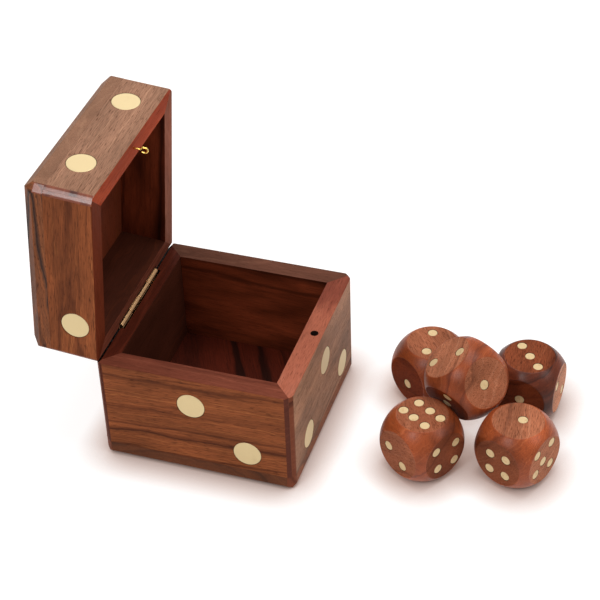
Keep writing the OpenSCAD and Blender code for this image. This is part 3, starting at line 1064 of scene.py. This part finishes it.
def bendWire(shape, loop, level, angle):
    # Bends the wire about a point beside the shank's middle line
    made = bmesh.ops.spin(
        shape, geom=loop + cornersOf(loop), cent=(0, level * mm, 0), axis=(0, 0, 1), dvec=(0, 0, 0),
        angle=math.radians(angle), steps=max(4, int(angle / 9)), use_merge=False, use_duplicate=False,
    )["geom_last"]
    return [part for part in made if isinstance(part, bmesh.types.BMEdge)]


def drawWire(shape, loop, step):
    loop = lastLoop(bmesh.ops.extrude_edge_only(shape, edges=loop)["geom"])
    bmesh.ops.translate(shape, verts=cornersOf(loop), vec=(0, step * mm, 0))
    return loop


def roundEnd(shape, loop):
    # Closes a cut end of the wire with a small dome
    face = bmesh.ops.edgeloop_fill(shape, edges=loop)["faces"][0]
    bevelEdges(shape, list(face.edges), catch["endEase"], 3)


def wireEnd(shape, level, turn):
    matrix = Matrix.Translation((0, level * mm, 0)) @ turn
    ring = bmesh.ops.create_circle(shape, segments=catch["sides"], radius=catch["wire"] * mm, matrix=matrix)
    return edgesOf(ring["verts"])


def makeCatch():
    shape = bmesh.new()
    top = -catch["shankOut"] - catch["loop"]
    level = Matrix.Rotation(math.radians(90), 4, "X")
    start = wireEnd(shape, catch["shankIn"], level)
    end = drawWire(shape, start, -(catch["shankIn"] + catch["shankOut"]))
    roundEnd(shape, start)
    roundEnd(shape, end)
    start = wireEnd(shape, top + catch["loop"], Matrix.Rotation(math.radians(90), 4, "Y"))
    loop = bendWire(shape, start, top, 90)
    loop = drawWire(shape, loop, -catch["straight"])
    loop = bendWire(shape, loop, top - catch["straight"], 180)
    loop = drawWire(shape, loop, catch["straight"])
    loop = bendWire(shape, loop, top, catch["lastBend"])
    roundEnd(shape, start)
    roundEnd(shape, loop)
    bmesh.ops.recalc_face_normals(shape, faces=shape.faces)
    place = Matrix.Translation((0, box["catchY"] * mm, (box["bodyHeight"] + box["rimGap"]) * mm))
    place = place @ Matrix.Rotation(math.radians(90 + catch["turn"]), 4, "Z") @ level
    bmesh.ops.transform(shape, matrix=lidMatrix() @ place, verts=shape.verts)
    piece = newPiece("catchEyeWire", shape, [brasses["wire"]])
    shadeSmooth(piece)
    dress(piece, "lid", "brass_wire", "catch_eye")


makeCatch()
print("catch made")

# Floor, daylight and lamps

studio = {
    "floorColor": (0.92, 0.91, 0.9, 1),
    "floorSeen": (0.35, 0.35, 0.35, 1),
    # warmShadow, shadowReach and shadowContrast shape a painted contact shadow: the floor's glow dims and
    # warms where a piece stands close over it
    "warmShadow": (1.0, 0.5, 0.32, 1),
    "floorTint": (1.0, 0.97, 0.96, 1),
    "floorGlow": 0.82,      # falls off where a piece stands close over the floor
    "shadowReach": 14,
    "shadowContrast": 1.45,
    "floorMirrored": 0.15,
    "world": 0.36,
}

# Places in metres
lamps = {
    "overheadLamp": dict(place=(0.22, -0.15, 0.9), toward=(0, -0.04, 0), size=0.6, watts=3.4),
    "farLamp": dict(place=(0.85, 0.32, 0.72), toward=(0, 0, 0.05), size=0.5, watts=1.2),
    "frontLamp": dict(place=(-0.05, -0.8, 0.65), toward=(0, 0, 0.04), size=0.4, watts=1.8),
    "leftLamp": dict(place=(-0.6, 0.17, 0.72), toward=(0, 0.04, 0.08), size=0.3, watts=2.55),
}


def makeFloor():
    shape = bmesh.new()
    bmesh.ops.create_grid(shape, x_segments=2, y_segments=2, size=3.0)
    mesh = bpy.data.meshes.new("studioFloor")
    shape.to_mesh(mesh)
    shape.free()
    floor = bpy.data.objects.new("studioFloor", mesh)
    material, tree, shader = newMaterial("paleStudioFloor")
    shader.inputs["Roughness"].default_value = 0.9
    rays = tree.nodes.new("ShaderNodeLightPath")
    seen = calc(tree, "MAXIMUM", rays.outputs["Is Camera Ray"], rays.outputs["Is Transmission Ray"])
    color = mixColors(tree, seen, studio["floorColor"], studio["floorSeen"])
    tree.links.new(color, shader.inputs["Base Color"])
    # Painted contact shadow: the glow fades and warms with the nearness of a piece
    nearness = tree.nodes.new("ShaderNodeAmbientOcclusion")
    nearness.samples = 16
    nearness.inputs["Distance"].default_value = studio["shadowReach"] * mm
    bare = calc(tree, "POWER", nearness.outputs["AO"], studio["shadowContrast"])
    glow = calc(tree, "MULTIPLY", seen, calc(tree, "MULTIPLY", bare, studio["floorGlow"]))
    mirrored = calc(tree, "MULTIPLY", rays.outputs["Is Glossy Ray"], studio["floorMirrored"])
    tree.links.new(calc(tree, "ADD", glow, mirrored), shader.inputs["Emission Strength"])
    tint = mixColors(tree, bare, studio["warmShadow"], studio["floorTint"])
    tree.links.new(tint, shader.inputs["Emission Color"])
    mesh.materials.append(material)
    bpy.context.scene.collection.objects.link(floor)


def makeWorld():
    world = bpy.data.worlds.new("paleRoom")
    bpy.context.scene.world = world
    world.use_nodes = True
    tree = world.node_tree
    back = tree.nodes["Background"]
    rays = tree.nodes.new("ShaderNodeLightPath")
    seen = calc(tree, "MAXIMUM", rays.outputs["Is Camera Ray"], rays.outputs["Is Transmission Ray"])
    strength = calc(tree, "ADD", calc(tree, "MULTIPLY", seen, 1.0 - studio["world"]), studio["world"])
    tree.links.new(strength, back.inputs["Strength"])
    back.inputs["Color"].default_value = (1, 1, 1, 1)


def makeLamp(name, place, toward, size, watts):
    lamp = bpy.data.objects.new(name, bpy.data.lights.new(name, "AREA"))
    lamp.data.size = size
    lamp.data.energy = watts
    lamp.location = place
    lamp.rotation_euler = (Vector(toward) - Vector(place)).to_track_quat("-Z", "Y").to_euler()
    bpy.context.scene.collection.objects.link(lamp)


makeFloor()
makeWorld()
for name, lamp in lamps.items():
    makeLamp(name, **lamp)
view = bpy.context.scene.view_settings
view.view_transform = "Standard"
print("floor and lamps placed")
